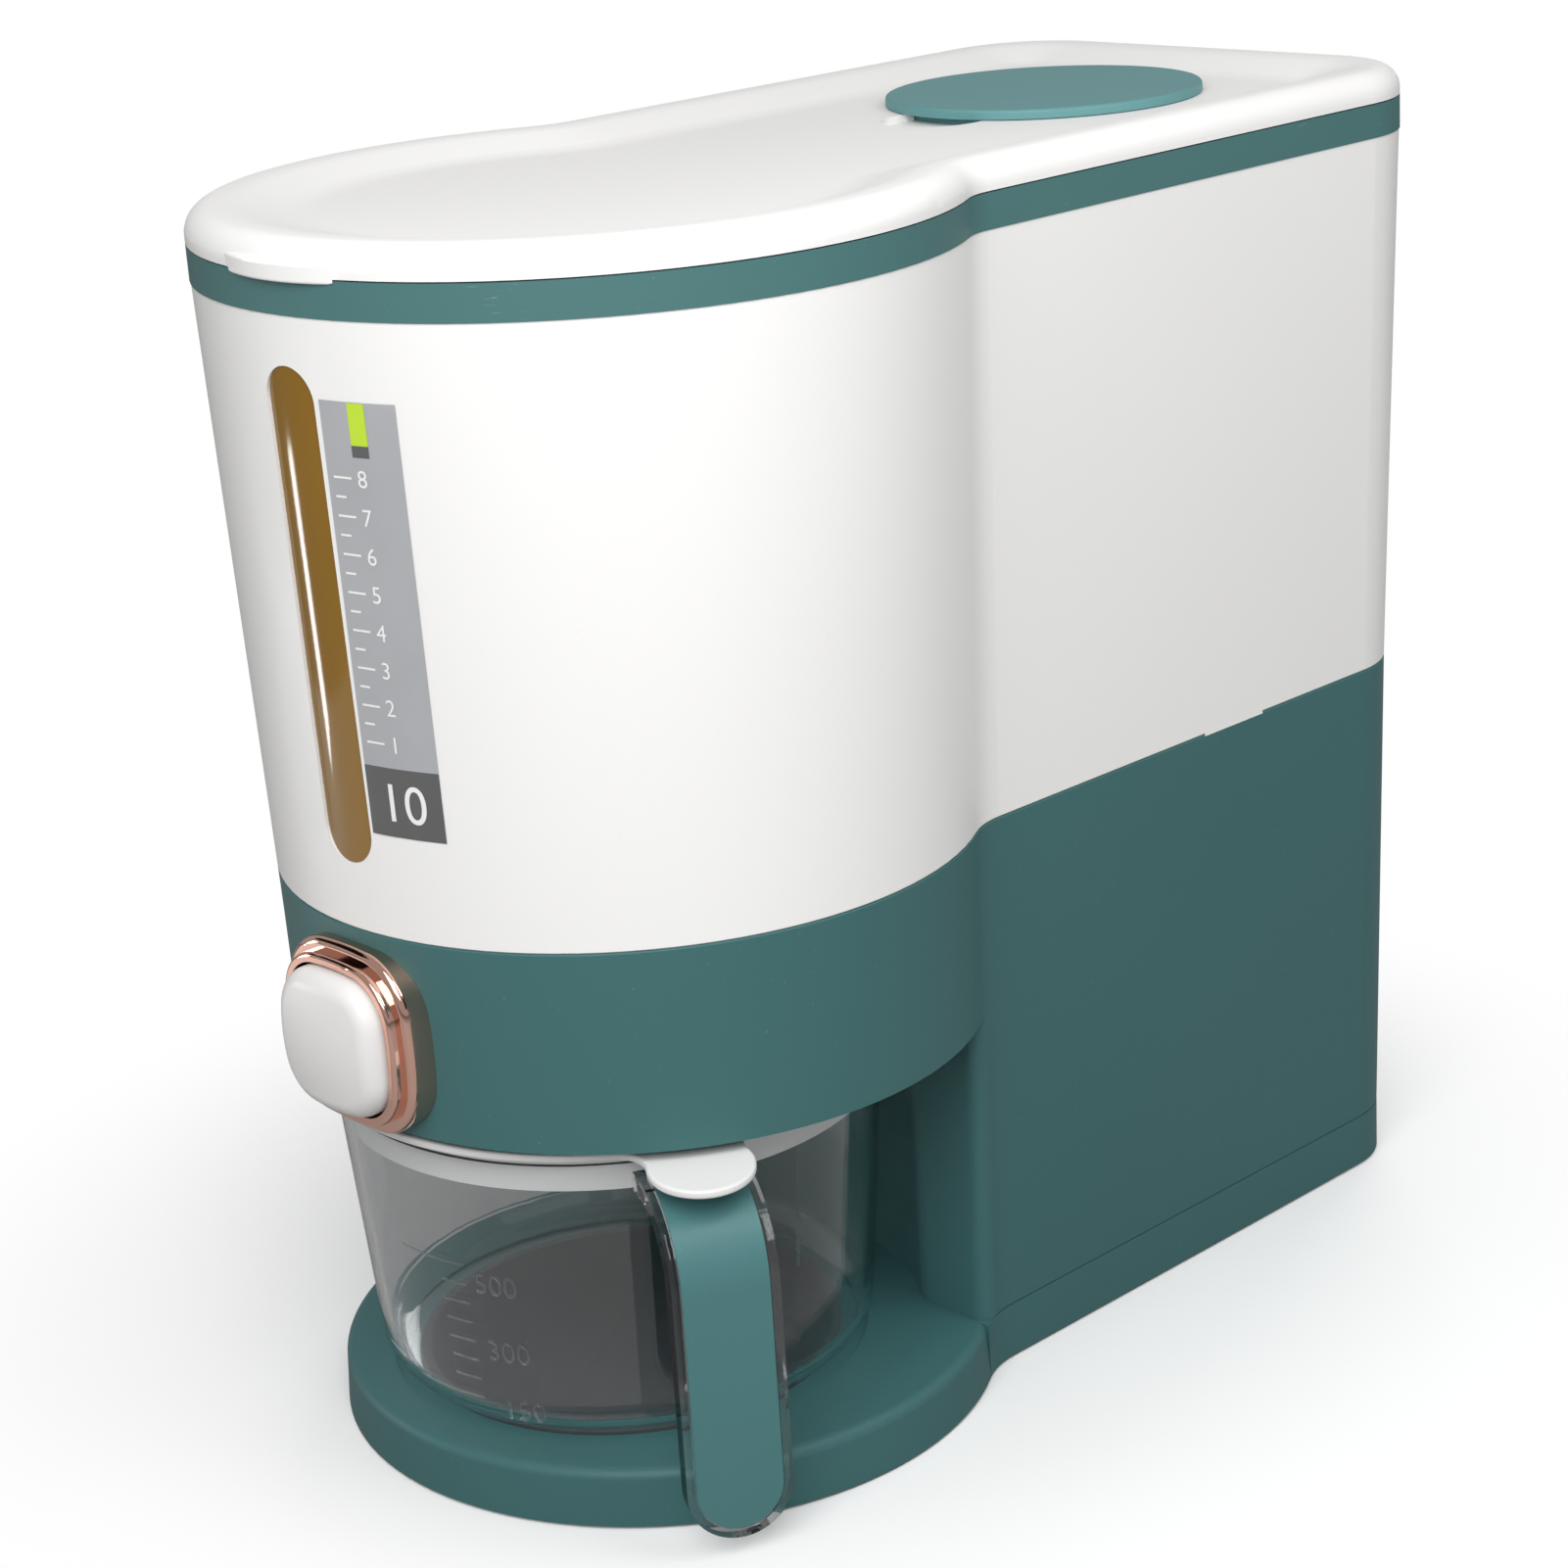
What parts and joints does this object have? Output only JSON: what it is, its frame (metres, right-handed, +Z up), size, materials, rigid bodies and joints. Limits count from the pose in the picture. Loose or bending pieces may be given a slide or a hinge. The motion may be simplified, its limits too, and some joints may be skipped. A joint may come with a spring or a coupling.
{
  "type": "rice dispenser",
  "caption": "Countertop rice dispenser: a white hopper with a hinged lid on a green column, a push-button gate and a clear measuring cup in the bay below.",
  "frame": {"origin": "on the table, below the middle of the bounding box", "axes": "+X to the right seen from the button side, +Y from the button towards the hinge, +Z up"},
  "size_m": [0.21, 0.3896, 0.353],
  "materials": {
    "green_plastic": "fine satin moulding",
    "white_plastic": "satin moulding",
    "clear_plastic": "clear polished styrene",
    "amber_plastic": "smoked amber, polished",
    "rose_chrome": "rose gold plating",
    "grey_rubber": "matt",
    "seal_rubber": "soft silicone",
    "steel": "bright"
  },
  "bodies": {
    "dispenser": {"base": "green_plastic", "cup_mat": "grey_rubber", "lower_body": "green_plastic", "hopper": "white_plastic", "sight_window": "amber_plastic", "rim_band": "green_plastic", "hinge_pin": "steel", "button_bezel": "rose_chrome", "gate_housing": "white_plastic", "return_spring": "steel", "housing_screws": "steel", "base_screws": "steel", "foot_1": "grey_rubber", "foot_2": "grey_rubber", "foot_3": "grey_rubber", "foot_4": "grey_rubber", "foot_5": "grey_rubber", "foot_6": "grey_rubber"},
    "lid": {"lid": "white_plastic", "lid_seal": "seal_rubber", "desiccant_basket": "white_plastic"},
    "cap": {"moisture_cap": "green_plastic"},
    "button": {"button_cap": "white_plastic", "gate_slide": "white_plastic"},
    "cup": {"cup": "clear_plastic", "cup_lid": "white_plastic", "grip_insert": "green_plastic"}
  },
  "joints": [
    {"name": "lid_hinge", "type": "hinge", "parent": "dispenser", "child": "lid", "pos_m": [0, 0.19145, 0.3455], "axis": [-1, 0, 0], "range_deg": [0, 100]},
    {"name": "cap_lift", "type": "slide", "parent": "lid", "child": "cap", "axis": [0, 0, 1], "range_m": [0, 0.03]},
    {"name": "button_press", "type": "slide", "parent": "dispenser", "child": "button", "axis": [0, 1, 0], "range_m": [0, 0.009], "stiffness_N_per_m": 400, "springref_m": -0.004, "deforming": ["return_spring"]},
    {"name": "cup_slide", "type": "slide", "parent": "dispenser", "child": "cup", "axis": [0, -1, 0], "range_m": [0, 0.165]}
  ]
}
